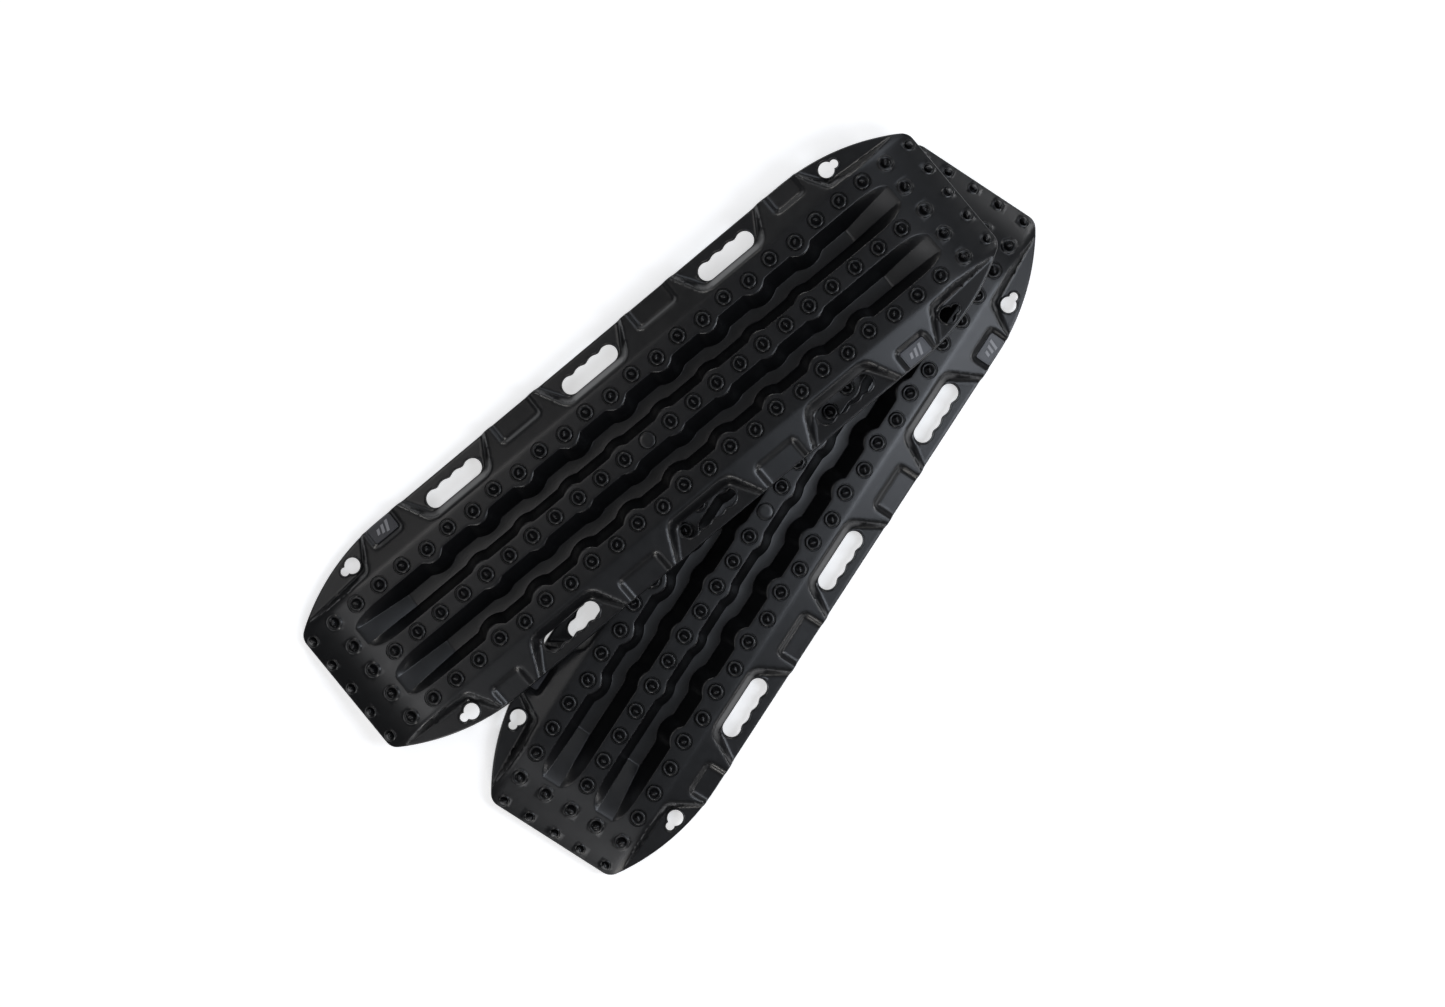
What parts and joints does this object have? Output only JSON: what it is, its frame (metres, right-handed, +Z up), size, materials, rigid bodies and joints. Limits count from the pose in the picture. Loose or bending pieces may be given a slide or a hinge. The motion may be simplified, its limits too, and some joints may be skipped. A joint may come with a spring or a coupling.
{
  "type": "vehicle traction board pair",
  "caption": "Pair of rigid studded traction boards, one leaning across the other, with hand slots, deep channels and curled ends, for getting a vehicle out of snow, mud or sand.",
  "frame": {"origin": "centre of the pair's box in plan, at the level of the ground the boards lie on", "axes": "+X along the lower board, +Y towards the side where the upper board leans down to the ground, +Z up"},
  "size_m": [1.1586, 0.6452, 0.1419],
  "materials": {
    "board_nylon": "fine-grained moulded nylon with a satin sheen",
    "badge_plate": "smooth dark grey plate with a lighter emblem"
  },
  "bodies": {
    "lower": {"lower_board": "board_nylon", "lower_badge_left": "badge_plate", "lower_badge_right": "badge_plate"},
    "upper": {"upper_board": "board_nylon", "upper_badge_left": "badge_plate", "upper_badge_right": "badge_plate"}
  },
  "joints": [
    {"name": "upper_lift", "type": "slide", "parent": "lower", "child": "upper", "axis": [0, 0, 1], "range_m": [0, 0.15]}
  ]
}
